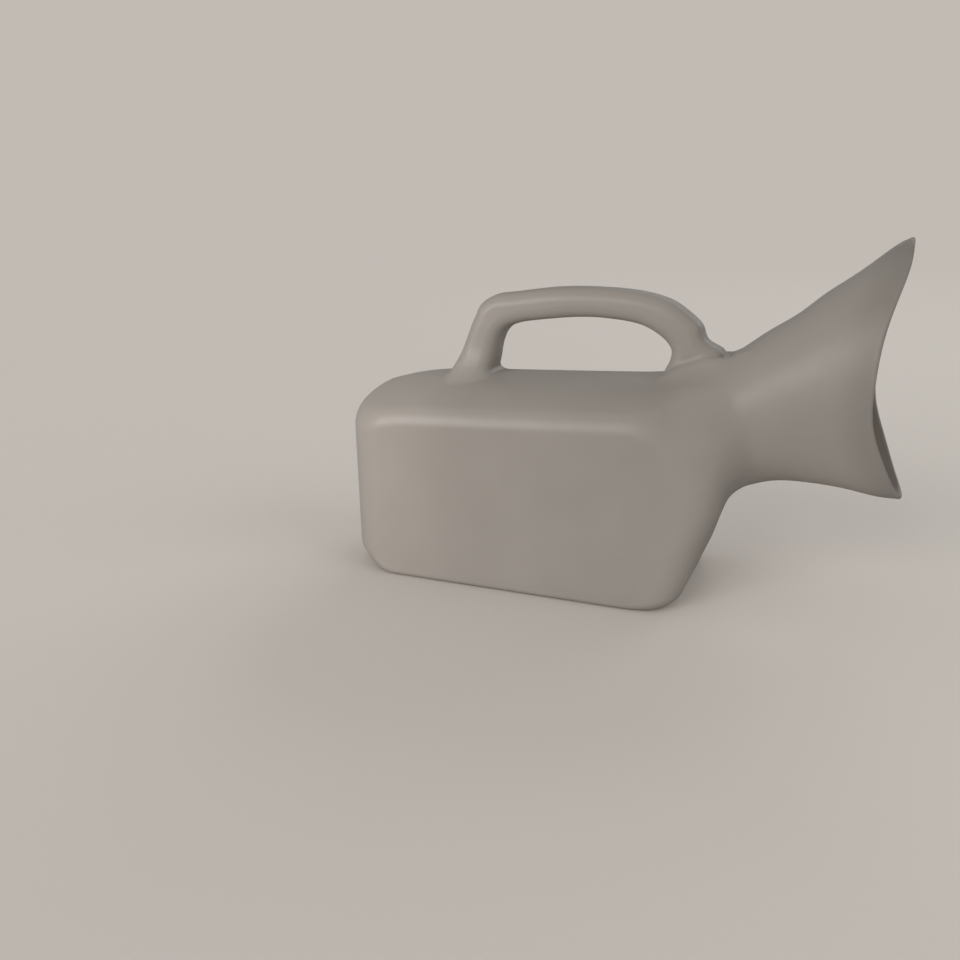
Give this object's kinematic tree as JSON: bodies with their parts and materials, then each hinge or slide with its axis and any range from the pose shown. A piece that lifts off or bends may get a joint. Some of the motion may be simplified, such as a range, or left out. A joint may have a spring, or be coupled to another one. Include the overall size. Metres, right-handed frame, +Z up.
{
  "type": "female urine bottle",
  "caption": "Milky plastic female urine bottle: flat-based box-shaped reservoir, looped top handle, and a neck that flares into a tall saddle-shaped open mouth.",
  "frame": {"origin": "middle of the flat base, on the plane it rests on", "axes": "+X along the bottle towards the mouth, +Y towards the side wall with the volume scale, +Z up out of the base"},
  "size_m": [0.2655, 0.0925, 0.169],
  "materials": {
    "milky_polyethylene": "natural blow-moulded polyethylene: milky, slightly translucent, soft satin sheen with fine mould texture"
  },
  "bodies": {
    "root": {"reservoir_shell": "milky_polyethylene", "neck_funnel": "milky_polyethylene", "rim_bead": "milky_polyethylene", "handle_grip": "milky_polyethylene", "handle_rear_foot": "milky_polyethylene", "handle_front_foot": "milky_polyethylene", "volume_scale": "milky_polyethylene"}
  },
  "joints": []
}
